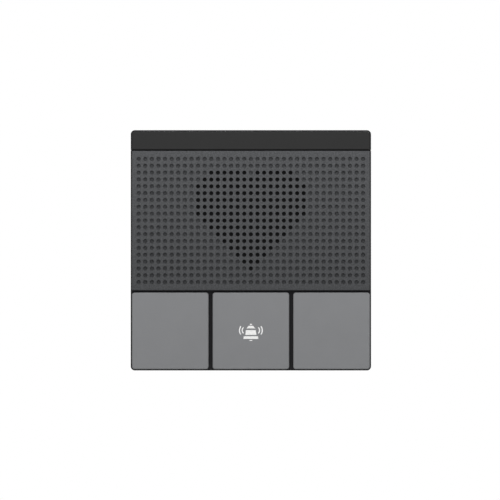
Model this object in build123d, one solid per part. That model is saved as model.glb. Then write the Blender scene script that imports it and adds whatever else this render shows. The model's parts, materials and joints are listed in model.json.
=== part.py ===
from build123d import *
from math import cos, pi, sin
import os

# Wall-mounted audio intercom panel: a perforated speaker grille with a heart of
# open holes, a plain top strip and three call keys on a dark two-part case.
# Millimetres. The wall is the plane y = 0, the front faces -Y, +X runs to the
# right seen from the front and +Z runs up. A "height" below is a distance
# from the wall towards the front.

# Face of the panel
face_width = 88.0
face_height = 88.0
corner_radius = 1.5
border = 0.48
overrun = 1.0
large_sides = 16
post_sides = 8
screw_sides = 6

# Depth, stacked from the wall to the front
bracket_recess = 2.0
rear_wall = 2.0
component_room = 12.4
board_thickness = 1.6
standoff_height = 3.6
base_thickness = 2.0
tile_rise = 4.4
rear_depth = 13.0

# Case shells
case_wall = 2.4
base_edge = 0.15
parting_chamfer = 0.3
wall_chamfer = 0.6
seam_notch_width = 0.5
seam_notch_depth = 0.25

# Top strip, grille and key tiles
strip_height = 6.73
strip_seam = 0.36
key_gap = 1.5
key_top_gap = 0.78
key_height = 28.06
key_radius = 1.0
tile_edge = 0.3
tile_wall = 1.6
tile_face = 1.8
peg_radius = 1.0
peg_gap = 0.1
peg_tail = 0.8
strip_peg_spacing = 60.0
grille_peg_inset = 4.6
grille_peg_drop = 7.0

# Grille holes: a grid of blind pits in which a heart of holes goes through
hole_pitch_x = 2.417
hole_pitch_z = 2.505
hole_radius = 0.75
pit_radius = 0.9
hole_margin = 2.0
pit_depth = 0.95
hole_sides = 6
pit_sides = 4
heart_half_columns = 8
heart_half_rows = 7
heart_shoulder_columns = 6

# Call keys
key_travel = 1.0
key_clearance = 0.2
key_face = 1.6
key_wall = 1.2
skirt_inset = 1.4
stem_size = 20.4
stem_wall = 1.4
stem_gap = 0.3
lug_length = 8.0
lug_catch = 0.7
lug_thickness = 1.2
lug_gap = 0.1
pusher_radius = 3.0
pusher_gap = 0.2

# Silicone key mat
mat_thickness = 1.0
mat_rim = 1.4
dome_radius = 5.2
dome_wall = 0.9
dome_top_radius = 3.2
dome_shoulder = 0.8

# Dust cloth and foam behind the grille
cloth_thickness = 0.3
cloth_margin = 4.5
foam_width = 2.0
microphone_foam_radius = 2.2

# Speaker
speaker_radius = 20.0
speaker_gasket_width = 1.6
speaker_gasket_thickness = 0.8
speaker_flange_width = 3.2
speaker_flange_thickness = 1.0
basket_depth = 7.9
basket_floor_radius = 12.0
basket_wall = 0.8
magnet_radius = 11.0
magnet_depth = 5.5
pole_radius = 4.6
coil_radius = 5.3
coil_wall = 0.4
coil_gap = 0.4
coil_depth = 3.0
cone_wall = 0.4
cone_rim_width = 2.0
cone_depth = 5.0
dust_cap_seat = 0.6
dust_cap_height = 1.6
dust_cap_lean = 2.4
dust_cap_wall = 0.4
hook_width = 5.0
hook_thickness = 1.6
hook_catch = 0.6
hook_gap = 0.2
hook_lip = 1.2
hook_count = 3

# Microphone
microphone_radius = 3.0
microphone_height = 2.2
microphone_port_radius = 1.2
boot_wall = 0.5
boot_speaker_gap = 0.56

# Circuit board and its screws
board_gap = 0.6
board_notch_gap = 0.5
board_speaker_gap = 0.6
standoff_radius = 2.6
board_screw_radius = 1.2
board_screw_head_radius = 2.2
board_screw_head = 1.6
board_screw_reach = 3.0
screw_gap = 0.1
board_screw_top_x = 30.0
board_screw_top_z = 34.5
board_screw_low_x = 36.5
board_screw_low_z = -11.5

# Case screws and seal
boss_radius = 3.0
boss_bite = 0.4
case_screw_radius = 1.2
case_screw_head_radius = 2.5
case_screw_head = 2.0
case_screw_sink = 3.0
case_screw_reach = 7.0
head_gap = 0.3
seal_width = 0.9
seal_height = 1.2
seal_gap = 0.05
seal_inset = 0.7

# Network jack
jack_width = 16.4
jack_height = 14.0
jack_x = -14.0
connector_z = -24.5
jack_sink = 0.4
jack_skin = 0.3
plug_width = 11.9
plug_height = 8.0
plug_depth = 11.8
plug_rise = 0.8
latch_width = 6.3
latch_height = 2.4
latch_depth = 6.0
contact_count = 8
contact_pitch = 1.02
contact_width = 0.45
contact_thickness = 0.4
contact_start = 2.0
contact_length = 8.0
contact_drop = 2.0
connector_gap = 0.4

# Terminal block
terminal_width = 22.4
terminal_height = 9.6
terminal_x = 14.0
terminal_sink = 0.6
terminal_count = 6
terminal_pitch = 3.5
entry_size = 2.7
entry_depth = 7.0
entry_drop = 1.7
well_radius = 1.4
well_depth = 4.0
well_rise = 2.6
terminal_screw_height = 2.0

# Parts on the back of the board
processor_size = 12.0
processor_height = 1.2
processor_x = -4.0
memory_width = 8.0
memory_tall = 10.0
memory_height = 1.0
memory_x = 10.0
chip_z = -9.5
transformer_width = 12.5
transformer_tall = 16.0
transformer_height = 5.8
transformer_x = -30.0
transformer_z = 0.5
capacitor_radius = 4.0
capacitor_height = 9.0
capacitor_x = -30.0
capacitor_low_z = 15.0
capacitor_spacing = 10.0
relay_width = 10.0
relay_tall = 15.0
relay_height = 9.0
relay_x = 31.0
relay_z = 0.0
moulding_edge = 0.5
header_width = 6.0
header_tall = 5.0
header_height = 4.0
header_x = 30.0
lead_width = 2.4
lead_thickness = 1.2
lead_bend = 1.6
tag_length = 2.4
tag_width = 6.0
tag_thickness = 1.0

# Wall bracket
bracket_thickness = 1.6
bracket_gap = 0.6
bracket_radius = 2.0
screw_spacing = 60.3
slot_radius = 2.1
slot_travel = 3.0
wall_screw_head_radius = 4.2
wall_screw_head = 3.2
cup_wall = 1.4
cable_window_width = 56.0
cable_window_height = 24.0
cable_window_radius = 2.0
hanger_width = 8.0
hanger_spacing = 44.0
hanger_z = 33.0
hanger_lip = 2.6
hanger_gap = 0.15
hanger_side_gap = 0.4
tab_width = 10.0
tab_reach = 6.6
tab_z = -37.6

# Lock screw in the bottom wall
lock_height = 5.8
lock_radius = 1.25
lock_head_radius = 2.4
lock_head = 1.2
lock_sink = 0.2
lock_reach = 1.4

# Heights worked out from the stack
rear_wall_out = bracket_recess
rear_wall_in = rear_wall_out + rear_wall
board_back = rear_wall_in + component_room
board_front = board_back + board_thickness
base_back = board_front + standoff_height
base_front = base_back + base_thickness
front = base_front + tile_rise
split = rear_depth

# Places on the face worked out from the sizes
inner_width = face_width - 2 * case_wall
inner_height = face_height - 2 * case_wall
tile_width = face_width - 2 * border
strip_top = face_height / 2 - border
strip_z = strip_top - strip_height / 2
grille_top = strip_top - strip_height - strip_seam
key_bottom = border - face_height / 2
key_z = key_bottom + key_height / 2
grille_bottom = key_bottom + key_height + key_top_gap
grille_height = grille_top - grille_bottom
grille_z = (grille_top + grille_bottom) / 2
key_width = (tile_width - 2 * key_gap) / 3
key_pitch = key_width + key_gap
window_size = stem_size + 2 * stem_gap
skirt_width = key_width - 2 * skirt_inset
skirt_height = key_height - 2 * skirt_inset
rail_front = front - key_face - key_travel - key_clearance
rail_top = grille_bottom - peg_gap
half_columns = int((tile_width / 2 - hole_margin) / hole_pitch_x)
half_rows = int((grille_height / 2 - hole_margin) / hole_pitch_z)
cloth_back = front - tile_face - cloth_thickness
dome_top = base_back - pusher_gap
cloth_width = 2 * (heart_half_columns * hole_pitch_x + cloth_margin)
cloth_height = 2 * (heart_half_rows * hole_pitch_z + cloth_margin)

# Speaker and microphone places: the microphone sits behind the tip of the heart
boot_radius = microphone_radius + boot_wall
microphone_z = grille_z - heart_half_rows * hole_pitch_z
speaker_z = microphone_z + boot_radius + boot_speaker_gap + speaker_radius
flange_front = base_back - speaker_gasket_thickness
flange_back = flange_front - speaker_flange_thickness
basket_back = flange_front - basket_depth
flange_bore = speaker_radius - speaker_flange_width
speaker_opening = speaker_radius - speaker_gasket_width - speaker_gasket_thickness
cone_rim = speaker_radius - speaker_gasket_width - screw_gap

# Fastener places
boss_x = inner_width / 2 - boss_radius + boss_bite
boss_z = inner_height / 2 - boss_radius + boss_bite
boss_spots = [(side * boss_x, boss_z) for side in (-1, 1)]
boss_spots += [(side * key_pitch / 2, -boss_z) for side in (-1, 1)]
board_screw_spots = [(side * board_screw_top_x, board_screw_top_z) for side in (-1, 1)]
board_screw_spots += [(side * board_screw_low_x, board_screw_low_z) for side in (-1, 1)]
strip_peg_spots = [(side * strip_peg_spacing / 2, strip_z) for side in (-1, 1)]
grille_peg_x = tile_width / 2 - grille_peg_inset
grille_peg_zs = (grille_top - grille_peg_drop, grille_bottom + grille_peg_drop)
grille_peg_spots = [(side * grille_peg_x, z) for side in (-1, 1) for z in grille_peg_zs]
key_xs = {"left_key": -key_pitch, "centre_key": 0.0, "right_key": key_pitch}
wall_screw_xs = (-screw_spacing / 2, screw_spacing / 2)
hanger_xs = (-hanger_spacing / 2, hanger_spacing / 2)
case_screw_seat = rear_wall_out + case_screw_sink + case_screw_head
cup_radius = wall_screw_head_radius + slot_travel / 2 + head_gap
cup_floor = bracket_thickness + wall_screw_head + head_gap


def at(height, x=0.0, z=0.0):
    """Sketch plane facing the front, at a height above the wall."""
    return Plane(origin=(x, -height, z), x_dir=(1, 0, 0), z_dir=(0, -1, 0))


def slab(width, tall, low, high, x=0.0, z=0.0, radius=0.0):
    """Plate between two heights, with rounded corners where a radius is given."""
    outline = RectangleRounded(width, tall, radius) if radius else Rectangle(width, tall)
    return extrude(at(low, x, z) * outline, amount=high - low)


def prism(sides, radius, low, high, x=0.0, z=0.0):
    """Many-sided rod between two heights, with one side level."""
    outline = RegularPolygon(radius, sides, rotation=180 / sides)
    return extrude(at(low, x, z) * outline, amount=high - low)


def ring(sides, outer, inner, low, high, x=0.0, z=0.0):
    """Many-sided ring between two heights."""
    return prism(sides, outer, low, high, x, z) - prism(sides, inner, low - overrun, high + overrun, x, z)


def tapered(sides, low_radius, high_radius, low, high, x=0.0, z=0.0):
    """Many-sided rod whose radius changes evenly between two heights."""
    turns = [(2 * side + 1) * pi / sides for side in range(sides)]
    near, far = [[(x + radius * cos(turn), -height, z + radius * sin(turn)) for turn in turns]
                 for height, radius in ((low, low_radius), (high, high_radius))]
    outlines = [near, far]
    outlines += [(near[side - 1], near[side], far[side], far[side - 1]) for side in range(sides)]
    return Solid(Shell([Face(Wire.make_polygon(outline)) for outline in outlines]))


def front_edges(body):
    """Edges round the foremost face."""
    return body.faces().sort_by(Axis.Y)[0].outer_wire().edges()


def rear_edges(body):
    """Edges round the rearmost face."""
    return body.faces().sort_by(Axis.Y)[-1].outer_wire().edges()


def fused(first, others):
    """One solid from a solid and what stands on it."""
    for other in others:
        first = first + other
    return first


def group(solids):
    """Separate like solids that share one node."""
    return Compound(children=[solid.solid() for solid in solids])


def screw(head_radius, shank_radius, head_low, seat, tip, x, z):
    """Screw driven from the wall side, with its head between two heights."""
    head = prism(post_sides, head_radius, head_low, seat, x, z)
    return head + prism(screw_sides, shank_radius, seat, tip, x, z)


def seal_band(clearance, low, high):
    """Band that runs round the middle of the case wall."""
    inset = 2 * (seal_inset + seal_gap - clearance)
    reach = 2 * (seal_inset + seal_gap + seal_width + clearance)
    outer = slab(face_width - inset, face_height - inset, low, high)
    return outer - slab(face_width - reach, face_height - reach, low - overrun, high + overrun)


def speaker_hooks():
    """Snap hooks that stand round the speaker and catch its flange."""
    reach = speaker_radius + hook_gap + hook_thickness
    catch = speaker_radius - hook_catch
    lip_front = flange_back - hook_gap / 2
    post = slab(hook_width, hook_thickness, lip_front - hook_lip, base_back,
                z=speaker_z + reach - hook_thickness / 2)
    lip = slab(hook_width, reach - catch, lip_front - hook_lip, lip_front,
               z=speaker_z + (reach + catch) / 2)
    axis = Axis((0, 0, speaker_z), (0, 1, 0))
    return [(post + lip).rotate(axis, turn * 360 / hook_count) for turn in range(hook_count)]


def seam_notches():
    """Slim upright grooves that carry the strip seam round both sides of the case."""
    z = grille_top + strip_seam / 2
    notches = []
    for side in (-1, 1):
        points = [(0, seam_notch_width / 2), (-side * seam_notch_depth, 0), (0, -seam_notch_width / 2)]
        profile = at(split - overrun, side * face_width / 2, z) * make_face(Polyline(*points, close=True))
        notches.append(extrude(profile, amount=base_front - split + 2 * overrun))
    return notches


def front_housing():
    """Front shell: base plate with rails round the keys, side walls, bosses and speaker hooks."""
    body = slab(face_width, face_height, split, rail_front, radius=corner_radius)
    body = chamfer(front_edges(body), base_edge)
    body = chamfer(rear_edges(body), parting_chamfer)
    above_rails = face_height / 2 - rail_top
    body -= slab(face_width + overrun, above_rails, base_front, front, 0, rail_top + above_rails / 2)
    body -= slab(inner_width, inner_height, split - overrun, base_back)
    body = fused(body, [prism(post_sides, boss_radius, split, base_back, x, z) for x, z in boss_spots])
    body = fused(body, [prism(post_sides, standoff_radius, board_front, base_back, x, z)
                        for x, z in board_screw_spots])
    body = fused(body, speaker_hooks())
    low = base_back - overrun
    high = base_front + overrun
    cuts = [prism(large_sides, speaker_opening, low, high, 0, speaker_z)]
    cuts.append(prism(post_sides, microphone_port_radius, low, high, 0, microphone_z))
    for x in key_xs.values():
        cuts.append(slab(skirt_width + 2 * stem_gap, skirt_height + 2 * stem_gap, base_front, front,
                         x, key_z))
        cuts.append(slab(window_size, window_size, low, high, x, key_z))
    for x, z in strip_peg_spots + grille_peg_spots:
        cuts.append(prism(screw_sides, peg_radius + peg_gap, low, high, x, z))
    for x, z in boss_spots:
        cuts.append(prism(screw_sides, case_screw_radius + screw_gap, split - overrun,
                          split + case_screw_reach + screw_gap, x, z))
    for x, z in board_screw_spots:
        cuts.append(prism(screw_sides, board_screw_radius + screw_gap, board_front - overrun,
                          board_front + board_screw_reach + screw_gap, x, z))
    cuts.append(seal_band(seal_gap, split - overrun, split + seal_height / 2))
    return body.cut(*cuts, *seam_notches())


def rear_case():
    """Rear shell: back wall with connector windows, screw cups and a recess for the bracket."""
    body = slab(face_width, face_height, 0, split, radius=corner_radius)
    body = chamfer(front_edges(body), parting_chamfer)
    body = chamfer(rear_edges(body), wall_chamfer)
    body -= slab(inner_width, inner_height, rear_wall_in, split + overrun)
    body -= slab(inner_width, inner_height, -overrun, rear_wall_out)
    body = fused(body, [prism(post_sides, boss_radius, rear_wall_in, split, x, z) for x, z in boss_spots])
    body = fused(body, [prism(large_sides, cup_radius + cup_wall, rear_wall_in, cup_floor + cup_wall, x)
                        for x in wall_screw_xs])
    low = rear_wall_out - overrun
    high = rear_wall_in + overrun
    cuts = [prism(large_sides, cup_radius, low, cup_floor, x) for x in wall_screw_xs]
    cuts.append(slab(jack_width + 2 * connector_gap, jack_height + 2 * connector_gap, low, high,
                     jack_x, connector_z))
    cuts.append(slab(terminal_width + 2 * connector_gap, terminal_height + 2 * connector_gap, low, high,
                     terminal_x, connector_z))
    slot_top = hanger_z + bracket_thickness + hanger_gap
    slot_height = hanger_lip + bracket_thickness + 2 * hanger_gap
    for x in hanger_xs:
        cuts.append(slab(hanger_width + 2 * hanger_side_gap, slot_height, low, high, x,
                         slot_top - slot_height / 2))
    cuts.append(slab(tab_width + 2 * hanger_side_gap, bracket_thickness + 2 * hanger_side_gap, low, high,
                     0, tab_z + bracket_thickness / 2))
    for x, z in boss_spots:
        cuts.append(prism(post_sides, case_screw_head_radius + head_gap, low, case_screw_seat, x, z))
        cuts.append(prism(screw_sides, case_screw_radius + head_gap, case_screw_seat - overrun,
                          split + overrun, x, z))
    cuts.append(seal_band(seal_gap, split - seal_height / 2, split + overrun))
    cuts.append(lock_bore(lock_head_radius + head_gap, -face_height / 2 - overrun, lock_seat_z()))
    cuts.append(lock_bore(lock_radius + head_gap, lock_seat_z() - overrun, overrun - inner_height / 2))
    return body.cut(*cuts)


def lock_seat_z():
    """Level of the lock screw head's seat in the bottom wall."""
    return lock_sink + lock_head - face_height / 2


def lock_bore(radius, low, high):
    """Upright many-sided rod on the lock screw's axis."""
    plane = Plane(origin=(0, -lock_height, low), x_dir=(1, 0, 0), z_dir=(0, 0, 1))
    return extrude(plane * RegularPolygon(radius, large_sides), amount=high - low)


def lock_screw():
    """Screw in the bottom wall that stops the panel lifting off its bracket."""
    seat = lock_seat_z()
    head = lock_bore(lock_head_radius, seat - lock_head, seat)
    return head + lock_bore(lock_radius, seat, tab_z + bracket_thickness + lock_reach)


def case_seal():
    """Soft seal in the grooves of both shells."""
    return seal_band(0, split - seal_height / 2, split + seal_height / 2)


def case_screws():
    """Screws that draw the two shells together from behind."""
    seat = case_screw_seat
    return group([screw(case_screw_head_radius, case_screw_radius, seat - case_screw_head, seat,
                        split + case_screw_reach, x, z) for x, z in boss_spots])


def peg_set(spots):
    """Pegs that hold a tile in the base plate."""
    return [prism(screw_sides, peg_radius, base_back - peg_tail, front - tile_face, x, z)
            for x, z in spots]


def top_strip():
    """Plain strip across the top: a shallow tray with pegs."""
    outline = Rectangle(tile_width, strip_height)
    outline = fillet(outline.vertices().group_by(Axis.Y)[-1], key_radius)
    body = extrude(at(base_front, 0, strip_z) * outline, amount=tile_rise)
    body = chamfer(front_edges(body), tile_edge)
    body -= slab(tile_width - 2 * tile_wall, strip_height - 2 * tile_wall, base_front - overrun,
                 front - tile_face, 0, strip_z)
    return fused(body, peg_set(strip_peg_spots))


def is_open(column, row):
    """Whether the hole at a column and row from the middle belongs to the heart."""
    shoulder = heart_shoulder_columns + heart_half_rows - row
    side = min(heart_half_columns, shoulder, heart_half_rows + row)
    cleft = row == heart_half_rows and column == 0
    return abs(row) <= heart_half_rows and abs(column) <= side and not cleft


def speaker_grille():
    """Grille tile: a tray whose face has a grid of pits and a heart of through holes."""
    body = chamfer(front_edges(slab(tile_width, grille_height, base_front, front, 0, grille_z)), tile_edge)
    body -= slab(tile_width - 2 * tile_wall, grille_height - 2 * tile_wall, base_front - overrun,
                 front - tile_face, 0, grille_z)
    body = fused(body, peg_set(grille_peg_spots))
    hole = prism(hole_sides, hole_radius, front - tile_face - overrun, front + overrun, 0, grille_z)
    flare = pit_radius * (pit_depth + overrun) / pit_depth
    mouth = at(front + overrun, 0, grille_z) * RegularPolygon(flare, pit_sides, rotation=180 / pit_sides)
    pit = loft([mouth, Vertex(0, pit_depth - front, grille_z)])
    cuts = []
    for row in range(-half_rows, half_rows + 1):
        for column in range(-half_columns, half_columns + 1):
            tool = hole if is_open(column, row) else pit
            cuts.append(tool.moved(Location((column * hole_pitch_x, 0, row * hole_pitch_z))))
    return body.cut(*cuts)


def dust_cloth():
    """Thin black cloth behind the heart of holes."""
    return slab(cloth_width, cloth_height, cloth_back, cloth_back + cloth_thickness, 0, grille_z)


def grille_foam():
    """Foam frame round the heart and a ring that keeps the speaker's sound from the microphone."""
    frame = slab(cloth_width, cloth_height, base_front, cloth_back, 0, grille_z)
    frame -= slab(cloth_width - 2 * foam_width, cloth_height - 2 * foam_width, base_front - overrun,
                  cloth_back + overrun, 0, grille_z)
    collar = ring(post_sides, microphone_foam_radius, microphone_port_radius, base_front, cloth_back,
                  0, microphone_z)
    return group([frame, collar])


def key(x):
    """Call key: cap with an inset skirt, a square stem with snap lugs and a round pusher."""
    back = front - key_face
    skirt_end = base_front + key_travel + key_clearance
    body = chamfer(front_edges(slab(key_width, key_height, back, front, x, key_z, key_radius)), tile_edge)
    skirt = slab(skirt_width, skirt_height, skirt_end, back, x, key_z)
    skirt -= slab(skirt_width - 2 * key_wall, skirt_height - 2 * key_wall, skirt_end - overrun, back,
                  x, key_z)
    lug_front = base_back - lug_gap
    stem_end = lug_front - lug_thickness
    stem = slab(stem_size, stem_size, stem_end, back, x, key_z)
    lugs = slab(window_size + 2 * lug_catch, lug_length, stem_end, lug_front, x, key_z)
    hollow = stem_size - 2 * stem_wall
    frame = stem + lugs - slab(hollow, hollow, stem_end - overrun, back, x, key_z)
    return body + skirt + frame + prism(post_sides, pusher_radius, dome_top, back, x, key_z)


def keypad_mat():
    """Silicone sheet with a hollow dome under each key."""
    tall = 2 * (dome_radius + mat_rim)
    width = 2 * (key_pitch + dome_radius + mat_rim)
    step = board_front + mat_thickness
    shoulder = dome_top - dome_shoulder
    body = slab(width, tall, board_front, step, 0, key_z, mat_rim)
    cuts = [prism(post_sides, boss_radius + board_notch_gap, board_front - overrun, step + overrun, x, z)
            for x, z in boss_spots]
    for x in key_xs.values():
        body += tapered(post_sides, dome_radius, dome_top_radius, step, shoulder, x, key_z)
        body += prism(post_sides, dome_top_radius, shoulder, dome_top, x, key_z)
        hollow = dome_radius - dome_wall
        cuts.append(prism(post_sides, hollow, board_front - overrun, step, x, key_z))
        cuts.append(tapered(post_sides, hollow, dome_top_radius - dome_wall, step, shoulder - dome_shoulder,
                            x, key_z))
    return body.cut(*cuts)


def speaker_gasket():
    """Foam ring between the speaker flange and the base plate."""
    inner = speaker_radius - speaker_gasket_width
    return ring(large_sides, speaker_radius, inner, flange_front, base_back, 0, speaker_z)


def speaker_basket():
    """Pressed steel basket: a flange, a cone and a floor with a hole for the coil."""
    floor_front = basket_back + basket_wall
    flange = ring(large_sides, speaker_radius, flange_bore, flange_back, flange_front, 0, speaker_z)
    cone = tapered(large_sides, basket_floor_radius + basket_wall, flange_bore + basket_wall,
                   basket_back, flange_back, 0, speaker_z)
    hollow = tapered(large_sides, basket_floor_radius, flange_bore, floor_front, flange_back, 0, speaker_z)
    hole = prism(large_sides, coil_radius + coil_gap, basket_back - overrun, flange_back, 0, speaker_z)
    return flange + cone.cut(hollow, hole)


def speaker_magnet():
    """Magnet and yoke with the ring-shaped slot that the coil moves in."""
    back = basket_back - magnet_depth
    slot_floor = basket_back - coil_depth - coil_gap
    body = prism(large_sides, magnet_radius, back, basket_back, 0, speaker_z)
    return body - ring(large_sides, coil_radius + coil_gap, pole_radius, slot_floor, basket_back + overrun,
                       0, speaker_z)


def cone_neck():
    """Height at which the cone meets the coil."""
    return flange_front - cone_depth


def speaker_cone():
    """Paper cone with a flat rim glued to the flange."""
    neck = cone_neck()
    throat = coil_radius - coil_wall
    mouth = cone_rim - cone_rim_width
    rim_front = flange_front + cone_wall
    rim = ring(large_sides, cone_rim, mouth, flange_front, rim_front, 0, speaker_z)
    outside = tapered(large_sides, coil_radius, mouth + cone_wall, neck, flange_front, 0, speaker_z)
    inside = tapered(large_sides, throat, mouth, neck, flange_front, 0, speaker_z)
    return rim + (outside - inside)


def voice_coil():
    """Coil former that hangs from the cone into the magnet."""
    return ring(large_sides, coil_radius, coil_radius - coil_wall, basket_back - coil_depth, cone_neck(),
                0, speaker_z)


def speaker_dust_cap():
    """Shallow cap glued into the throat of the cone."""
    seat = cone_neck() + dust_cap_seat
    crown = seat + dust_cap_height
    throat = coil_radius - coil_wall
    mouth = cone_rim - cone_rim_width
    rim = throat + (mouth - throat) * dust_cap_seat / cone_depth
    top = rim - dust_cap_lean
    cap = tapered(large_sides, rim, top, seat, crown, 0, speaker_z)
    return cap - tapered(large_sides, rim - dust_cap_wall, top - dust_cap_wall, seat, crown - dust_cap_wall,
                         0, speaker_z)


def speaker_tag():
    """Tag strip on the side of the basket where the lead is soldered."""
    return slab(tag_length, tag_width, flange_back - tag_thickness, flange_back,
                speaker_radius - tag_length / 2, speaker_z)


def speaker_header():
    """Lead socket on the back of the board."""
    body = slab(header_width, header_tall, board_back - header_height, board_back, header_x, speaker_z)
    return chamfer(rear_edges(body), moulding_edge)


def speaker_lead():
    """Flat two-core lead from the speaker tag to the socket on the board."""
    start = flange_back - tag_thickness
    turn_height = board_back - header_height / 2
    x = speaker_radius - tag_length / 2
    path = FilletPolyline((x, -start, speaker_z), (x, -turn_height, speaker_z),
                          (header_x - header_width / 2, -turn_height, speaker_z), radius=lead_bend)
    section = Plane(origin=(x, -start, speaker_z), x_dir=(1, 0, 0), z_dir=(0, 1, 0))
    return sweep(section * Rectangle(lead_thickness, lead_width), path)


def microphone_capsule():
    """Microphone on the front of the board."""
    return prism(post_sides, microphone_radius, board_front, board_front + microphone_height,
                 0, microphone_z)


def microphone_boot():
    """Rubber boot that leads the sound port to the microphone."""
    body = ring(post_sides, boot_radius, microphone_port_radius, board_front, base_back, 0, microphone_z)
    return body - prism(post_sides, microphone_radius, board_front - overrun, board_front + microphone_height,
                        0, microphone_z)


def main_board():
    """Circuit board with notched corners and a round opening for the speaker."""
    width = inner_width - 2 * board_gap
    tall = inner_height - 2 * board_gap
    body = slab(width, tall, board_back, board_front)
    notch = boss_radius + board_notch_gap
    low = board_back - overrun
    high = board_front + overrun
    cuts = [slab(2 * notch, 2 * notch, low, high, x, z) for x, z in boss_spots]
    cuts.append(prism(large_sides, flange_bore + basket_wall + board_speaker_gap, low, high, 0, speaker_z))
    cuts.append(slab(2 * tag_length, lead_width + 2 * board_notch_gap, low, high,
                     speaker_radius - tag_length / 2, speaker_z))
    for x, z in board_screw_spots:
        cuts.append(prism(screw_sides, board_screw_radius + screw_gap, low, high, x, z))
    return body.cut(*cuts)


def board_screws():
    """Screws that hold the board on its stand-offs."""
    return group([screw(board_screw_head_radius, board_screw_radius, board_back - board_screw_head,
                        board_back, board_front + board_screw_reach, x, z) for x, z in board_screw_spots])


def moulded_box(width, tall, height, x, z):
    """Component on the back of the board, with its rear edges broken."""
    body = slab(width, tall, board_back - height, board_back, x, z)
    return chamfer(rear_edges(body), moulding_edge)


def supply_capacitors():
    """Two round supply capacitors on the back of the board."""
    spots = [capacitor_low_z + step * capacitor_spacing for step in range(2)]
    return group([prism(large_sides, capacitor_radius, board_back - capacitor_height, board_back,
                        capacitor_x, z) for z in spots])


def jack_mouth():
    """Height of the rear ends of the jack, just inside the back wall."""
    return rear_wall_out + jack_sink


def network_jack_shell():
    """Tinned steel screen round the network jack."""
    body = slab(jack_width, jack_height, jack_mouth(), board_back, jack_x, connector_z)
    return body - slab(jack_width - 2 * jack_skin, jack_height - 2 * jack_skin, jack_mouth() - overrun,
                       board_back + overrun, jack_x, connector_z)


def network_jack_body():
    """Moulded jack insert with the plug cavity and its latch slot."""
    mouth = jack_mouth()
    body = slab(jack_width - 2 * jack_skin, jack_height - 2 * jack_skin, mouth, board_back,
                jack_x, connector_z)
    plug_z = connector_z + plug_rise
    body -= slab(plug_width, plug_height, mouth - overrun, mouth + plug_depth, jack_x, plug_z)
    latch_z = plug_z - plug_height / 2 - latch_height / 2
    return body - slab(latch_width, latch_height + overrun, mouth - overrun, mouth + latch_depth,
                       jack_x, latch_z + overrun / 2)


def network_contacts():
    """Eight sprung contacts along the top of the plug cavity."""
    top = connector_z + plug_rise + plug_height / 2
    start = jack_mouth() + contact_start
    end = start + contact_length
    points = [(start, top), (start + contact_thickness, top), (end, top - contact_drop),
              (end - contact_thickness, top - contact_drop)]
    first_x = jack_x - contact_pitch * (contact_count - 1) / 2 - contact_width / 2
    contacts = []
    for index in range(contact_count):
        plane = Plane(origin=(first_x + index * contact_pitch, 0, 0), x_dir=(0, -1, 0), z_dir=(-1, 0, 0))
        profile = plane * make_face(Polyline(*points, close=True))
        contacts.append(extrude(profile, amount=-contact_width))
    return group(contacts)


def terminal_xs():
    """Places of the terminals across the block."""
    first = terminal_x - terminal_pitch * (terminal_count - 1) / 2
    return [first + index * terminal_pitch for index in range(terminal_count)]


def terminal_mouth():
    """Height of the terminal block's rear face."""
    return rear_wall_out + terminal_sink


def terminal_block():
    """Six-way terminal block with square wire entries and screw wells."""
    mouth = terminal_mouth()
    body = slab(terminal_width, terminal_height, mouth, board_back, terminal_x, connector_z)
    cuts = []
    for x in terminal_xs():
        cuts.append(slab(entry_size, entry_size, mouth - overrun, mouth + entry_depth, x,
                         connector_z - entry_drop))
        cuts.append(prism(post_sides, well_radius, mouth - overrun, mouth + well_depth, x,
                          connector_z + well_rise))
    return body.cut(*cuts)


def terminal_screws():
    """Clamping screws at the bottoms of the wells."""
    high = terminal_mouth() + well_depth
    return group([prism(post_sides, well_radius - screw_gap, high - terminal_screw_height, high, x,
                        connector_z + well_rise) for x in terminal_xs()])


def wall_bracket():
    """Steel plate screwed to the wall box, with two hangers and a lock tab."""
    width = inner_width - 2 * bracket_gap
    tall = inner_height - 2 * bracket_gap
    low = -overrun
    high = bracket_thickness + overrun
    body = slab(width, tall, 0, bracket_thickness, radius=bracket_radius)
    cuts = [extrude(at(low, x) * SlotOverall(slot_travel + 2 * slot_radius, 2 * slot_radius),
                    amount=high - low) for x in wall_screw_xs]
    window_z = connector_z
    cuts.append(slab(cable_window_width, cable_window_height, low, high, 0, window_z, cable_window_radius))
    tab_top = tab_z + bracket_thickness
    notch_top = window_z
    cuts.append(slab(tab_width, notch_top - tab_top, low, high, 0, (notch_top + tab_top) / 2))
    lip_front = rear_wall_in + hanger_gap + bracket_thickness
    blank = lip_front + hanger_lip - bracket_thickness
    for x in hanger_xs:
        cuts.append(slab(hanger_width, blank, low, high, x, hanger_z - blank / 2))
    body = body.cut(*cuts)
    for x in hanger_xs:
        body += slab(hanger_width, bracket_thickness, 0, lip_front, x, hanger_z + bracket_thickness / 2)
        body += slab(hanger_width, hanger_lip, lip_front - bracket_thickness, lip_front, x,
                     hanger_z + bracket_thickness + hanger_lip / 2)
    body += slab(tab_width, bracket_thickness, 0, bracket_thickness + tab_reach, 0,
                 tab_z + bracket_thickness / 2)
    return body - lock_bore(lock_radius + screw_gap, tab_z - overrun, tab_top + overrun)


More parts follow.
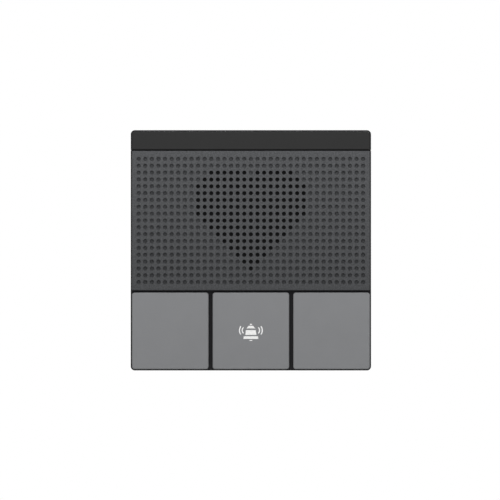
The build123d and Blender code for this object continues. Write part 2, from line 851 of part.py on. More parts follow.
def nodes():
    """Every piece of the panel under its name."""
    pieces = {
        "front_housing": front_housing(),
        "rear_case": rear_case(),
        "case_seal": case_seal(),
        "case_screws": case_screws(),
        "top_strip": top_strip(),
        "speaker_grille": speaker_grille(),
        "dust_cloth": dust_cloth(),
        "grille_foam": grille_foam(),
        "keypad_mat": keypad_mat(),
        "speaker_gasket": speaker_gasket(),
        "speaker_basket": speaker_basket(),
        "speaker_magnet": speaker_magnet(),
        "speaker_cone": speaker_cone(),
        "voice_coil": voice_coil(),
        "speaker_dust_cap": speaker_dust_cap(),
        "speaker_tag": speaker_tag(),
        "speaker_lead": speaker_lead(),
        "speaker_header": speaker_header(),
        "microphone_capsule": microphone_capsule(),
        "microphone_boot": microphone_boot(),
        "main_board": main_board(),
        "board_screws": board_screws(),
        "processor_chip": moulded_box(processor_size, processor_size, processor_height,
                                      processor_x, chip_z),
        "memory_chip": moulded_box(memory_width, memory_tall, memory_height, memory_x, chip_z),
        "network_transformer": moulded_box(transformer_width, transformer_tall, transformer_height,
                                           transformer_x, transformer_z),
        "supply_capacitors": supply_capacitors(),
        "door_relay": moulded_box(relay_width, relay_tall, relay_height, relay_x, relay_z),
        "network_jack_shell": network_jack_shell(),
        "network_jack_body": network_jack_body(),
        "network_contacts": network_contacts(),
        "terminal_block": terminal_block(),
        "terminal_screws": terminal_screws(),
        "wall_bracket": wall_bracket(),
        "lock_screw": lock_screw(),
    }
    for name, x in key_xs.items():
        pieces[name] = key(x)
    return pieces


os.makedirs("parts", exist_ok=True)
for name, shape in nodes().items():
    export_step(shape, f"parts/{name}.step")
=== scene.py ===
"""Looks of the audio intercom panel: fine meshes, materials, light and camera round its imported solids."""

import json
import math

import bmesh
import bpy
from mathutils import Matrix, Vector


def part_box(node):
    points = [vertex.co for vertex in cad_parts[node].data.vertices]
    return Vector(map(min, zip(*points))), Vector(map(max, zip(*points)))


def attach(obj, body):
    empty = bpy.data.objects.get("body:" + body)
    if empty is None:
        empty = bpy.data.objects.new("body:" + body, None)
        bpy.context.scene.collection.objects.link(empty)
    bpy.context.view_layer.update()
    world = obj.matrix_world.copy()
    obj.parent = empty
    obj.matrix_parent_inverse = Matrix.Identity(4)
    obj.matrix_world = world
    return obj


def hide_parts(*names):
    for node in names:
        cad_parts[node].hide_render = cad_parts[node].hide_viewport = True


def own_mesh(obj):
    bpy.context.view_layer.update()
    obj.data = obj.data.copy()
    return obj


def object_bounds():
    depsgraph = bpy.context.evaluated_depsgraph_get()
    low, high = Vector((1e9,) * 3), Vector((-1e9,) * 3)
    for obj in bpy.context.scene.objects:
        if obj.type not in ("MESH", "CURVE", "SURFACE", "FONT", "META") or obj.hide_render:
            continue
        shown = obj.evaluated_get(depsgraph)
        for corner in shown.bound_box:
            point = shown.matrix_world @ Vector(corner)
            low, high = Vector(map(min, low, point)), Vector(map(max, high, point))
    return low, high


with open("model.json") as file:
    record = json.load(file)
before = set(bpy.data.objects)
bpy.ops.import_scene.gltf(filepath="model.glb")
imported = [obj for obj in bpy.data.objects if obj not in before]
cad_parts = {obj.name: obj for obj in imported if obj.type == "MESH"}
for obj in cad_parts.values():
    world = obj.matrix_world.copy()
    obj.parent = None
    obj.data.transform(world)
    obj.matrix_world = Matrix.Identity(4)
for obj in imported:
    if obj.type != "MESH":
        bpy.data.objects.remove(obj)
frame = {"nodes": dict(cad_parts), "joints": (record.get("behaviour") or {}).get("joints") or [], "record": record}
cad_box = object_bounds()
nodes = frame["nodes"]

# Sizes are in metres
MM = 0.001
MERGE = 0.0005 * MM
SMOOTH_ANGLE = math.radians(32)

# Grille tile: the same grid, heart and tray as the solid, with round holes and flat-floored pits
HOLE_PITCH_X = 2.417 * MM
HOLE_PITCH_Z = 2.505 * MM
HOLE_RADIUS = 0.75 * MM
HOLE_RIM = 0.05 * MM
PIT_DEPTH = 1.1 * MM
PIT_FILLET = 0.1 * MM
HALF_COLUMNS = 17
HALF_ROWS = 9
HEART_HALF_COLUMNS = 8
HEART_HALF_ROWS = 7
HEART_SHOULDER_COLUMNS = 6
SIDE_STEPS = 5
FIRST_CORNER = math.radians(45)
TILE_FACE = 1.8 * MM
TILE_WALL = 1.6 * MM
TILE_RISE = 4.4 * MM
TILE_EDGE = 0.3 * MM
TILE_CORNER = 0.4 * MM
EDGE_STEPS = 4
ARC_STEPS = 6
PEG_RADIUS = 1.0 * MM
PEG_INSET = 4.6 * MM
PEG_DROP = 7.0 * MM
PEG_SEGMENTS = 12

# Rounding of the edges that the solids leave sharp
EDGE_ZONE = 0.4 * MM
SOFT_EDGE = 0.11 * MM
SOFT_STEPS = 3
SHARP_ANGLE = math.radians(24)
FLAT_ANGLE = math.radians(0.5)
ROUND_PROFILE = 0.5
SHEET_EDGE = 0.12 * MM

# Bell sign on the centre key, measured from the middle of the sign
SIGN_DROP = 0.6 * MM
SIGN_RECESS = 0.15 * MM
SIGN_SINK = 0.02 * MM
# Ellipses: centre across and up, half width, half height
ELLIPSE_STEPS = 32
KNOB = (0.0, 2.96 * MM, 0.46 * MM, 0.24 * MM)
CLAPPER = (0.0, -2.9 * MM, 0.6 * MM, 0.18 * MM)
# Bands: top, bottom, half width at the top and at the bottom, rounding of the top corners
BAND_STEPS = 8
CAP_BAND = (2.46 * MM, 1.5 * MM, 1.12 * MM, 1.69 * MM, 0.45 * MM)
BODY_BAND = (0.88 * MM, -0.88 * MM, 1.80 * MM, 2.05 * MM, 0.05 * MM)
RIM_BAND = (-1.36 * MM, -2.35 * MM, 2.60 * MM, 2.75 * MM, 0.08 * MM)
# Sound waves: centre of the right-hand arcs, width of the stroke, radius and half angle of each arc
WAVE_STEPS = 16
WAVE_END_STEPS = 8
WAVE_CENTRE = (1.67 * MM, 0.79 * MM)
WAVE_STROKE = 0.42 * MM
WAVES = ((1.5 * MM, math.radians(40)), (2.5 * MM, math.radians(33)))

# Dust cloth
CLOTH_CORNER = 1.2 * MM
CLOTH_STEPS = (24, 24)

# Key mat: the sheet and the domes under the keys
MAT_THICKNESS = 1.0 * MM
MAT_RIM = 1.2 * MM
MAT_STEPS = (24, 8)
DOME_RADIUS = 5.2 * MM
DOME_WALL = 0.9 * MM
DOME_TOP_RADIUS = 3.2 * MM
DOME_SHOULDER = 0.8 * MM
DOME_EDGE = 0.15 * MM

# Screws
SCREW_SEGMENTS = 48
LOCK_HEAD_RADIUS = 2.4 * MM
LOCK_HEAD = 1.2 * MM
LOCK_RADIUS = 1.25 * MM
LOCK_THREAD = 0.5 * MM
LOCK_THREAD_DEPTH = 0.12 * MM
CROSS_ARM = 1.35 * MM
CROSS_WIDTH = 0.55 * MM
CROSS_DEPTH = 0.8 * MM
CROSS_MOUTH_SHARE = 1.3
CROSS_FLOOR_SHARE = 0.6
TERMINAL_PITCH = 3.5 * MM
TERMINAL_COUNT = 6
TERMINAL_SEGMENTS = 32
TERMINAL_SLOT = 0.5 * MM
TERMINAL_SLOT_DEPTH = 0.6 * MM
TERMINAL_SLOT_REACH = 1.2
TERMINAL_LEANS = (math.radians(-20), math.radians(5), math.radians(30))
SCREW_EDGE = 0.15 * MM

# Surface patterns: the wave texture's period at scale 1, the noise, and how tone and gloss swing
WAVE_PERIOD = 0.314
NOISE_DETAIL = 4.0
NOISE_ROUGHNESS = 0.6
BRUSH_STRETCH = (1.0, 1.0, 0.03)
PATCH_SIZE = 9.0 * MM
MIDDLE_LOW = 0.25
MIDDLE_HIGH = 0.75
GLOSS_SWING = 0.12

# Finish of each slot: its colour as displayed, and what differs from the defaults of finish
FINISHES = {
    "case_black": dict(colour=(36, 36, 38), roughness=0.6, specular=0.1, size=0.3 * MM, depth=0.02 * MM),
    "strip_grey": dict(colour=(46, 46, 46), roughness=0.5, specular=0.1, size=0.15 * MM,
                       depth=0.004 * MM, mottle=0.02),
    # The grille's fall is painted light and shade: lighter at the top, darker at the foot, as if lit from above
    "grille_grey": dict(colour=(80, 81, 83), roughness=0.5, specular=0.1, pattern="speckle",
                        size=0.55 * MM, depth=0.012 * MM, mottle=0.42, painted_light_fall=("speaker_grille", 0.14)),
    # The keys' fall is painted light and shade: slightly lighter at the top, darker at the foot, as if lit from
    # above
    "key_grey": dict(colour=(136, 137, 139), roughness=0.5, specular=0.1, size=0.15 * MM,
                     depth=0.004 * MM, mottle=0.02, painted_light_fall=("centre_key", 0.03)),
    "cloth_black": dict(colour=(48, 48, 49), roughness=0.9, specular=0.1, pattern="weave",
                        size=0.3 * MM, depth=0.05 * MM, mottle=0.3),
    "foam_black": dict(colour=(26, 26, 26), roughness=0.95, specular=0.1, size=0.4 * MM,
                       depth=0.15 * MM, mottle=0.15),
    "seal_rubber": dict(colour=(24, 24, 25), roughness=0.7, specular=0.3, size=0.2 * MM),
    "silicone_grey": dict(colour=(168, 172, 174), roughness=0.6, specular=0.4),
    "pressed_steel": dict(colour=(178, 181, 184), roughness=0.42, metallic=1.0, pattern="spangle",
                          size=1.3 * MM, depth=0.003 * MM, mottle=0.03),
    "magnet_grey": dict(colour=(70, 71, 73), roughness=0.6, specular=0.4, metallic=0.4, depth=0.03 * MM,
                        mottle=0.1),
    "cone_paper": dict(colour=(36, 35, 34), roughness=0.9, specular=0.15, size=0.5 * MM,
                       depth=0.05 * MM, mottle=0.12),
    "coil_copper": dict(colour=(186, 112, 70), roughness=0.3, metallic=1.0, pattern="brushed",
                        size=0.1 * MM),
    "board_green": dict(colour=(18, 70, 40), roughness=0.35, size=0.8 * MM, mottle=0.1),
    "chip_black": dict(colour=(28, 28, 29), roughness=0.6, specular=0.4),
    "capacitor_can": dict(colour=(188, 190, 192), roughness=0.32, metallic=1.0, pattern="brushed",
                          size=0.2 * MM),
    "relay_case": dict(colour=(36, 36, 39), roughness=0.3, depth=0.004 * MM),
    "jack_black": dict(colour=(30, 30, 31), roughness=0.55, specular=0.4, size=0.4 * MM,
                       depth=0.015 * MM),
    "contact_gold": dict(colour=(222, 180, 96), roughness=0.22, metallic=1.0, pattern="brushed",
                         size=0.1 * MM, depth=0.002 * MM),
    "terminal_green": dict(colour=(34, 112, 62), roughness=0.5, specular=0.4, size=0.4 * MM,
                           depth=0.012 * MM, mottle=0.05),
    "header_white": dict(colour=(252, 252, 251), roughness=0.5, specular=0.2, depth=0.004 * MM,
                         mottle=0.01),
    "lead_black": dict(colour=(26, 26, 27), roughness=0.5, specular=0.4),
    "screw_steel": dict(colour=(176, 178, 180), roughness=0.3, metallic=1.0, pattern="brushed",
                        size=0.12 * MM, depth=0.004 * MM),
}

# Camera and floor
CAMERA_DISTANCE = 6.0
CAMERA_VIEW_WIDTH = 183.0 * MM
CAMERA_OFFSET = (-0.33 * MM, 0.11 * MM)
SENSOR_WIDTH = 36.0
FLOOR_DROP = 1.3
FLOOR_RADIUS = 2.5
FLOOR_SEGMENTS = 96
FLOOR_GLOW = 0.5
FLOOR_FINISH = dict(colour=(240, 240, 240), roughness=0.8, specular=0.2, depth=0.02 * MM, mottle=0.01)

# Light: strength of the surround, then each lamp's name, place, aim, diameter and watts
SURROUND_STRENGTH = 0.35
LAMPS = (
    ("front light", (0.0, -1.5, 0.35), (0.0, 0.0, 0.0), 1.2, 8.0),
    ("top light", (0.0, -0.36, 0.38), (0.0, -0.028, 0.02), 0.24, 0.55),
    ("left fill", (-0.9, -0.5, 0.1), (0.0, 0.0, 0.0), 0.6, 0.8),
    ("right fill", (0.9, -0.5, 0.1), (0.0, 0.0, 0.0), 0.6, 0.8),
    ("rear fill", (0.2, 1.2, 0.5), (0.0, 0.0, 0.0), 0.8, 6.0),
)


# Mesh making

class Shell:
    """Points and faces gathered for one mesh."""

    def __init__(self):
        self.points = []
        self.faces = []

    def loop(self, points):
        """Adds points and gives their numbers."""
        first = len(self.points)
        self.points.extend(points)
        return list(range(first, len(self.points)))

    def bridge(self, near, far):
        """Joins two closed loops of as many points with four-sided faces."""
        for here in range(len(near)):
            there = (here + 1) % len(near)
            self.faces.append((near[here], near[there], far[there], far[here]))

    def stack(self, loops, caps=True):
        """Joins a row of loops, and closes the first and last where asked."""
        numbers = [self.loop(points) for points in loops]
        for near, far in zip(numbers, numbers[1:]):
            self.bridge(near, far)
        if caps:
            self.faces.append(tuple(numbers[0]))
            self.faces.append(tuple(numbers[-1]))
        return numbers

    def mesh(self, name):
        """Mesh with its double points merged, its last opening closed and its normals outwards."""
        data = bpy.data.meshes.new(name)
        data.from_pydata(self.points, [], self.faces)
        work = bmesh.new()
        work.from_mesh(data)
        bmesh.ops.remove_doubles(work, verts=work.verts, dist=MERGE)
        rims = [edge for edge in work.edges if edge.is_boundary]
        if rims:
            bmesh.ops.bridge_loops(work, edges=rims)
        bmesh.ops.recalc_face_normals(work, faces=work.faces)
        work.to_mesh(data)
        work.free()
        return data


def circle(centre_x, centre_z, radius, y, count, start):
    """Points of a circle square to the wall's normal."""
    turns = [start + 2 * math.pi * step / count for step in range(count)]
    return [(centre_x + radius * math.cos(turn), y, centre_z + radius * math.sin(turn)) for turn in turns]


def rounded_outline(half_width, half_height, radius, width_steps, height_steps):
    """Points round a rectangle with rounded corners, with so many steps along its sides."""
    signs = ((1, 1), (-1, 1), (-1, -1), (1, -1))
    arcs = []
    for turn, (side_x, side_z) in enumerate(signs):
        middle = Vector((side_x * (half_width - radius), side_z * (half_height - radius)))
        angles = [math.radians(90 * (turn + step / ARC_STEPS)) for step in range(ARC_STEPS + 1)]
        arcs.append([middle + radius * Vector((math.cos(angle), math.sin(angle))) for angle in angles])
    points = []
    for turn, arc in enumerate(arcs):
        steps = height_steps if turn % 2 else width_steps
        end = arcs[(turn + 1) % len(arcs)][0]
        points += arc
        points += [arc[-1].lerp(end, step / steps) for step in range(1, steps)]
    return points


def placed(outline, y, centre_x, centre_z):
    """Points of a flat outline at a depth, round a centre."""
    return [(centre_x + point[0], y, centre_z + point[1]) for point in outline]


def turned(shell, origin, axis, profile, count=SCREW_SEGMENTS):
    """Adds a closed turned form: a profile of (radius, distance) along an axis."""
    side = axis.orthogonal().normalized()
    other = axis.cross(side)
    loops = []
    for radius, along in profile:
        turns = [2 * math.pi * step / count for step in range(count)]
        loops.append([origin + axis * along + radius * (math.cos(turn) * side + math.sin(turn) * other)
                      for turn in turns])
    shell.stack(loops)


def piece(mesh, name, body, slot, replaced=(), weighted=False):
    """Object that shows a mesh, rides on a body and takes a slot's material."""
    mesh.name = name
    shown = bpy.data.objects.new(name, mesh)
    bpy.context.scene.collection.objects.link(shown)
    mesh.materials.clear()
    mesh.materials.append(materials[slot])
    mesh.polygons.foreach_set("use_smooth", [True] * len(mesh.polygons))
    mesh.set_sharp_from_angle(angle=SMOOTH_ANGLE)
    if weighted:
        shown.modifiers.new("flat faces stay flat", "WEIGHTED_NORMAL").keep_sharp = True
    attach(shown, body)
    if replaced:
        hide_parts(*replaced)
    return shown


def softened(node, width, is_in_zone):
    """Copy of a solid's mesh with the sharp edges of a zone rounded."""
    work = bmesh.new()
    work.from_mesh(nodes[node].data)
    bmesh.ops.remove_doubles(work, verts=work.verts, dist=MERGE)
    bmesh.ops.dissolve_limit(work, angle_limit=FLAT_ANGLE, verts=work.verts, edges=work.edges)
    sharp = [edge for edge in work.edges
             if len(edge.link_faces) == 2 and edge.calc_face_angle() > SHARP_ANGLE
             and all(is_in_zone(corner.co) for corner in edge.verts)]
    bmesh.ops.bevel(work, geom=sharp, offset=width, offset_type="OFFSET", segments=SOFT_STEPS,
                    profile=ROUND_PROFILE, affect="EDGES", clamp_overlap=True)
    mesh = bpy.data.meshes.new(node)
    work.to_mesh(mesh)
    work.free()
    return mesh


def carved(mesh, cutter):
    """Mesh with another closed mesh cut out of it."""
    body = bpy.data.objects.new("carved body", mesh)
    tool = bpy.data.objects.new("carving tool", cutter)
    for item in (body, tool):
        bpy.context.scene.collection.objects.link(item)
    cut = body.modifiers.new("cut", "BOOLEAN")
    cut.operation = "DIFFERENCE"
    cut.solver = "EXACT"
    cut.object = tool
    result = bpy.data.meshes.new_from_object(body.evaluated_get(bpy.context.evaluated_depsgraph_get()))
    for item in (body, tool):
        bpy.data.objects.remove(item)
    return result


# Materials

def linear(display):
    """Linear colour from display values of 0 to 255, by the sRGB curve."""
    shares = [value / 255 for value in display]
    return [share / 12.92 if share <= 0.04045 else ((share + 0.055) / 1.055) ** 2.4 for share in shares]


def toned(display, share):
    """Linear colour made lighter or darker by a share."""
    return [channel * share for channel in linear(display)] + [1.0]


def height_texture(tree, pattern, size, coordinates):
    """Output of a texture that has a pattern with features of a size."""
    links = tree.links
    if pattern == "weave":
        waves = []
        for direction in ("X", "Z"):
            wave = tree.nodes.new("ShaderNodeTexWave")
            wave.bands_direction = direction
            wave.inputs["Scale"].default_value = WAVE_PERIOD / size
            links.new(coordinates, wave.inputs["Vector"])
            waves.append(wave.outputs["Fac"])
        crossing = tree.nodes.new("ShaderNodeMath")
        crossing.operation = "MULTIPLY"
        for socket, wave in zip(crossing.inputs, waves):
            links.new(wave, socket)
        return crossing.outputs["Value"]
    if pattern == "spangle":
        cells = tree.nodes.new("ShaderNodeTexVoronoi")
        cells.inputs["Scale"].default_value = 1 / size
        links.new(coordinates, cells.inputs["Vector"])
        grey = tree.nodes.new("ShaderNodeRGBToBW")
        links.new(cells.outputs["Color"], grey.inputs["Color"])
        return grey.outputs["Val"]
    if pattern == "brushed":
        stretch = tree.nodes.new("ShaderNodeMapping")
        stretch.inputs["Scale"].default_value = BRUSH_STRETCH
        links.new(coordinates, stretch.inputs["Vector"])
        coordinates = stretch.outputs["Vector"]
    noise = tree.nodes.new("ShaderNodeTexNoise")
    noise.inputs["Scale"].default_value = 1 / size
    noise.inputs["Detail"].default_value = NOISE_DETAIL
    noise.inputs["Roughness"].default_value = NOISE_ROUGHNESS
    links.new(coordinates, noise.inputs["Vector"])
    return noise.outputs["Fac"]


def ranged(tree, value, low, high):
    """Output that spreads a texture's middle values over a range."""
    spread = tree.nodes.new("ShaderNodeMapRange")
    spread.inputs["From Min"].default_value = MIDDLE_LOW
    spread.inputs["From Max"].default_value = MIDDLE_HIGH
    spread.inputs["To Min"].default_value = low
    spread.inputs["To Max"].default_value = high
    tree.links.new(value, spread.inputs["Value"])
    return spread.outputs["Result"]


def painted_light_falloff(tree, shade, coordinates, node, share):
    """Colour with painted light and shade: a share lighter at the top of a node and a share darker at its foot, as
    if lit from above.
    """
    foot, top = [corner.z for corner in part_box(node)]
    axes = tree.nodes.new("ShaderNodeSeparateXYZ")
    tree.links.new(coordinates, axes.inputs["Vector"])
    level = tree.nodes.new("ShaderNodeMapRange")
    level.inputs["From Min"].default_value = foot
    level.inputs["From Max"].default_value = top
    level.inputs["To Min"].default_value = 1 - share
    level.inputs["To Max"].default_value = 1 + share
    tree.links.new(axes.outputs["Z"], level.inputs["Value"])
    scaled = tree.nodes.new("ShaderNodeVectorMath")
    scaled.operation = "SCALE"
    tree.links.new(shade, scaled.inputs["Vector"])
    tree.links.new(level.outputs["Result"], scaled.inputs["Scale"])
    return scaled.outputs["Vector"]


def finish(name, colour, roughness, specular=0.5, metallic=0.0, pattern="grain", size=0.25 * MM,
           depth=0.01 * MM, mottle=0.04, painted_light_fall=None):
    """Material with a surface pattern of a size and depth, uneven gloss and a mottled tone.

    A fall is painted light and shade: the node over which the tone goes lighter at the top and darker at the foot,
    as if lit from above, and the share that it changes.
    """
    material = bpy.data.materials.new(name)
    material.use_nodes = True
    tree = material.node_tree
    shader = tree.nodes["Principled BSDF"]
    shader.inputs["Metallic"].default_value = metallic
    shader.inputs["Specular IOR Level"].default_value = specular
    coordinates = tree.nodes.new("ShaderNodeTexCoord").outputs["Object"]
    height = height_texture(tree, pattern, size, coordinates)
    source = height
    # Grain and brushing are only relief, so their tone follows slow patches
    if pattern in ("grain", "brushed"):
        source = height_texture(tree, "grain", PATCH_SIZE, coordinates)
    tone = tree.nodes.new("ShaderNodeMix")
    tone.data_type = "RGBA"
    tone.inputs["A"].default_value = toned(colour, 1 - mottle)
    tone.inputs["B"].default_value = toned(colour, 1 + mottle)
    tree.links.new(ranged(tree, source, 0.0, 1.0), tone.inputs["Factor"])
    shade = tone.outputs["Result"]
    # Painted light and shade: the tone is lighter towards the top and darker towards the foot of the fall's node
    if painted_light_fall:
        shade = painted_light_falloff(tree, shade, coordinates, *painted_light_fall)
    tree.links.new(shade, shader.inputs["Base Color"])
    uneven = ranged(tree, height, roughness * (1 - GLOSS_SWING), roughness * (1 + GLOSS_SWING))
    tree.links.new(uneven, shader.inputs["Roughness"])
    bump = tree.nodes.new("ShaderNodeBump")
    bump.inputs["Strength"].default_value = 1.0
    bump.inputs["Distance"].default_value = depth
    tree.links.new(height, bump.inputs["Height"])
    tree.links.new(bump.outputs["Normal"], shader.inputs["Normal"])
    return material


def all_materials():
    """One material for each slot of the record."""
    return {slot: finish(slot, **look) for slot, look in FINISHES.items()}


def dress_solids():
    """Gives every solid that stays in view its slot's material."""
    for part in frame["record"]["subparts"]:
        for holder in nodes[part["node"]].material_slots:
            holder.material = materials[part["material_slot"]]


# Grille tile

def is_open(column, row):
    """Whether the hole at a column and row from the middle belongs to the heart."""
    shoulder = HEART_SHOULDER_COLUMNS + HEART_HALF_ROWS - row
    side = min(HEART_HALF_COLUMNS, shoulder, HEART_HALF_ROWS + row)
    cleft = row == HEART_HALF_ROWS and column == 0
    return abs(row) <= HEART_HALF_ROWS and abs(column) <= side and not cleft


def cell_outline():
    """Points round one cell of the grid, from its top right corner."""
    corners = [Vector((side_x * HOLE_PITCH_X / 2, side_z * HOLE_PITCH_Z / 2))
               for side_x, side_z in ((1, 1), (-1, 1), (-1, -1), (1, -1))]
    points = []
    for here, there in zip(corners, corners[1:] + corners[:1]):
        points += [here.lerp(there, step / SIDE_STEPS) for step in range(SIDE_STEPS)]
    return points


def grille_cell(shell, x, z, front, back, opened, has_back):
    """Adds one cell of the grille's face, with its hole or pit."""
    outline = cell_outline()

    def ring(radius, depth):
        return circle(x, z, radius, front + depth, len(outline), FIRST_CORNER)

    loops = [placed(outline, front, x, z), ring(HOLE_RADIUS + HOLE_RIM, 0.0), ring(HOLE_RADIUS, HOLE_RIM)]
    if opened:
        loops += [ring(HOLE_RADIUS, back - front), placed(outline, back, x, z)]
        shell.stack(loops, caps=False)
        return
    loops += [ring(HOLE_RADIUS, PIT_DEPTH - PIT_FILLET), ring(HOLE_RADIUS - PIT_FILLET, PIT_DEPTH)]
    numbers = shell.stack(loops, caps=False)
    shell.faces.append(tuple(numbers[-1]))
    if has_back:
        shell.faces.append(tuple(shell.loop(placed(outline, back, x, z))))


def grille_tray(shell, half_width, half_height, front, back, centre_x, centre_z):
    """Adds the border of the face, the rounded edge and the walls of the tray."""
    columns = 2 * HALF_COLUMNS + 1
    rows = 2 * HALF_ROWS + 1
    steps = (columns * SIDE_STEPS, rows * SIDE_STEPS)

    def loop(width, height, radius, y):
        return placed(rounded_outline(width, height, radius, *steps), y, centre_x, centre_z)

    loops = [loop(columns * HOLE_PITCH_X / 2, rows * HOLE_PITCH_Z / 2, 0.0, front)]
    for step in range(EDGE_STEPS + 1):
        angle = math.radians(90) * step / EDGE_STEPS
        inset = TILE_EDGE * (1 - math.sin(angle))
        loops.append(loop(half_width - inset, half_height - inset, TILE_CORNER - inset,
                          front + TILE_EDGE * (1 - math.cos(angle))))
    rim = front + TILE_RISE
    loops.append(loop(half_width, half_height, TILE_CORNER, rim))
    loops.append(loop(half_width - TILE_WALL, half_height - TILE_WALL, 0.0, rim))
    loops.append(loop(half_width - TILE_WALL, half_height - TILE_WALL, 0.0, back))
    shell.stack(loops, caps=False)


def grille_tile():
    """Grille with round holes in place of the solid's six-sided ones."""
    low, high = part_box("speaker_grille")
    middle = (low + high) / 2
    front = low.y
    back = front + TILE_FACE
    shell = Shell()
    for row in range(-HALF_ROWS, HALF_ROWS + 1):
        for column in range(-HALF_COLUMNS, HALF_COLUMNS + 1):
            in_block = abs(column) <= HEART_HALF_COLUMNS and abs(row) <= HEART_HALF_ROWS
            grille_cell(shell, middle.x + column * HOLE_PITCH_X, middle.z + row * HOLE_PITCH_Z,
                        front, back, is_open(column, row), in_block)
    half_width = (high.x - low.x) / 2
    half_height = (high.z - low.z) / 2
    grille_tray(shell, half_width, half_height, front, back, middle.x, middle.z)
    for side_x in (-1, 1):
        for side_z in (-1, 1):
            x = middle.x + side_x * (half_width - PEG_INSET)
            z = middle.z + side_z * (half_height - PEG_DROP)
            turned(shell, Vector((x, back, z)), Vector((0, 1, 0)),
                   [(PEG_RADIUS, 0.0), (PEG_RADIUS, high.y - back)], PEG_SEGMENTS)
    piece(shell.mesh("grille_tile"), "grille_tile", "panel", "grille_grey", ["speaker_grille"])


# Strip, keys and sign

def front_zone(node):
    """Test for points in the front edges of a solid."""
    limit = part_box(node)[0].y + EDGE_ZONE
    return lambda point: point.y < limit


def ellipse(centre_x, centre_z, half_width, half_height):
    """Points of an ellipse."""
    turns = [2 * math.pi * step / ELLIPSE_STEPS for step in range(ELLIPSE_STEPS)]
    return [(centre_x + half_width * math.cos(turn), centre_z + half_height * math.sin(turn))
            for turn in turns]


def band(top, bottom, top_half, bottom_half, rounding):
    """Points of a bell band: a level bottom, leaning sides and rounded top corners."""
    points = [(bottom_half, bottom)]
    for side in (1, -1):
        for step in range(BAND_STEPS + 1):
            share = step / BAND_STEPS
            turn = math.radians(90) * (share if side > 0 else 1 - share)
            points.append((side * (top_half - rounding + rounding * math.cos(turn)),
                           top - rounding + rounding * math.sin(turn)))
    return points + [(-bottom_half, bottom)]


def wave_stroke(side, radius, half_angle):
    """Points of one curved stroke beside the bell, with round ends."""
    centre = (side * WAVE_CENTRE[0], WAVE_CENTRE[1])
    half = WAVE_STROKE / 2

    def polar(middle, distance, angle):
        return (middle[0] + side * distance * math.cos(angle), middle[1] + distance * math.sin(angle))

    def along(distance, first, last):
        shares = [step / WAVE_STEPS for step in range(WAVE_STEPS + 1)]
        return [polar(centre, distance, first + (last - first) * share) for share in shares]

    def round_end(angle, first):
        middle = polar(centre, radius, angle)
        turns = [first + math.pi * step / WAVE_END_STEPS for step in range(1, WAVE_END_STEPS)]
        return [polar(middle, half, turn) for turn in turns]

    outside = along(radius + half, -half_angle, half_angle) + round_end(half_angle, half_angle)
    inside = along(radius - half, half_angle, -half_angle) + round_end(-half_angle, math.pi - half_angle)
    return outside + inside


def sign_outlines():
    """Flat outlines of the bell sign's separate marks."""
    outlines = [ellipse(*KNOB), ellipse(*CLAPPER), band(*CAP_BAND), band(*BODY_BAND), band(*RIM_BAND)]
    return outlines + [wave_stroke(side, *wave) for side in (-1, 1) for wave in WAVES]


def sign_mesh(name, near, far, centre_x, centre_z):
    """The sign's marks as flat pieces between two depths."""
    shell = Shell()
    for outline in sign_outlines():
        shell.stack([placed(outline, near, centre_x, centre_z), placed(outline, far, centre_x, centre_z)])
    return shell.mesh(name)


def call_keys():
    """The three keys, with the bell sign let into the centre one."""
    for node in ("left_key", "centre_key", "right_key"):
        low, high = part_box(node)
        mesh = softened(node, SOFT_EDGE, front_zone(node))
        if node == "centre_key":
            centre_x = (low.x + high.x) / 2
            centre_z = (low.z + high.z) / 2 - SIGN_DROP
            floor = low.y + SIGN_RECESS
            mesh = carved(mesh, sign_mesh("sign_tool", low.y - SIGN_RECESS, floor, centre_x, centre_z))
            piece(sign_mesh("bell_sign", low.y + SIGN_SINK, floor, centre_x, centre_z), "bell_sign",
                  "centre_key_body", "header_white")
        piece(mesh, node + "_cap", node + "_body", "key_grey", [node], weighted=True)


def top_strip():
    """The plain strip, with rounded front edges."""
    piece(softened("top_strip", SOFT_EDGE, front_zone("top_strip")), "strip_cover", "panel", "strip_grey",
          ["top_strip"], weighted=True)


# Soft pieces

def dust_cloth():
    """Thin woven cloth stretched behind the grille."""
    low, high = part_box("dust_cloth")
    shell = Shell()
    middle = (low + high) / 2
    outline = rounded_outline((high.x - low.x) / 2, (high.z - low.z) / 2, CLOTH_CORNER, *CLOTH_STEPS)
    shell.stack([placed(outline, y, middle.x, middle.z) for y in (low.y, high.y)])
    cloth = piece(shell.mesh("grille_cloth"), "grille_cloth", "panel", "cloth_black", ["dust_cloth"])


def key_mat():
    """Silicone sheet, and a dome under each key."""
    low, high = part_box("keypad_mat")
    middle = (low + high) / 2
    sheet_front = high.y - MAT_THICKNESS
    shell = Shell()
    outline = rounded_outline((high.x - low.x) / 2, DOME_RADIUS + MAT_RIM, MAT_RIM, *MAT_STEPS)
    shell.stack([placed(outline, y, middle.x, middle.z) for y in (sheet_front, high.y)])
    piece(shell.mesh("mat_sheet"), "mat_sheet", "panel", "silicone_grey", ["keypad_mat"])
    rise = sheet_front - low.y
    shoulder = rise - DOME_SHOULDER
    inside = shoulder - DOME_SHOULDER
    profile = [(DOME_TOP_RADIUS - DOME_WALL, inside), (DOME_RADIUS - DOME_WALL, 0.0), (DOME_RADIUS, 0.0),
               (DOME_TOP_RADIUS, shoulder), (DOME_TOP_RADIUS, rise - DOME_EDGE),
               (DOME_TOP_RADIUS - DOME_EDGE, rise)]
    for joint in frame["joints"]:
        key_low, key_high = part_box(joint["child"].removesuffix("_body"))
        foot = Vector(((key_low.x + key_high.x) / 2, sheet_front, (key_low.z + key_high.z) / 2))
        shell = Shell()
        turned(shell, foot, Vector((0, -1, 0)), profile)
        name = joint["name"].replace("press", "dome")
        dome = piece(shell.mesh(name), name, "panel", "silicone_grey", ["keypad_mat"])
        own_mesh(dome)


# Rear pieces

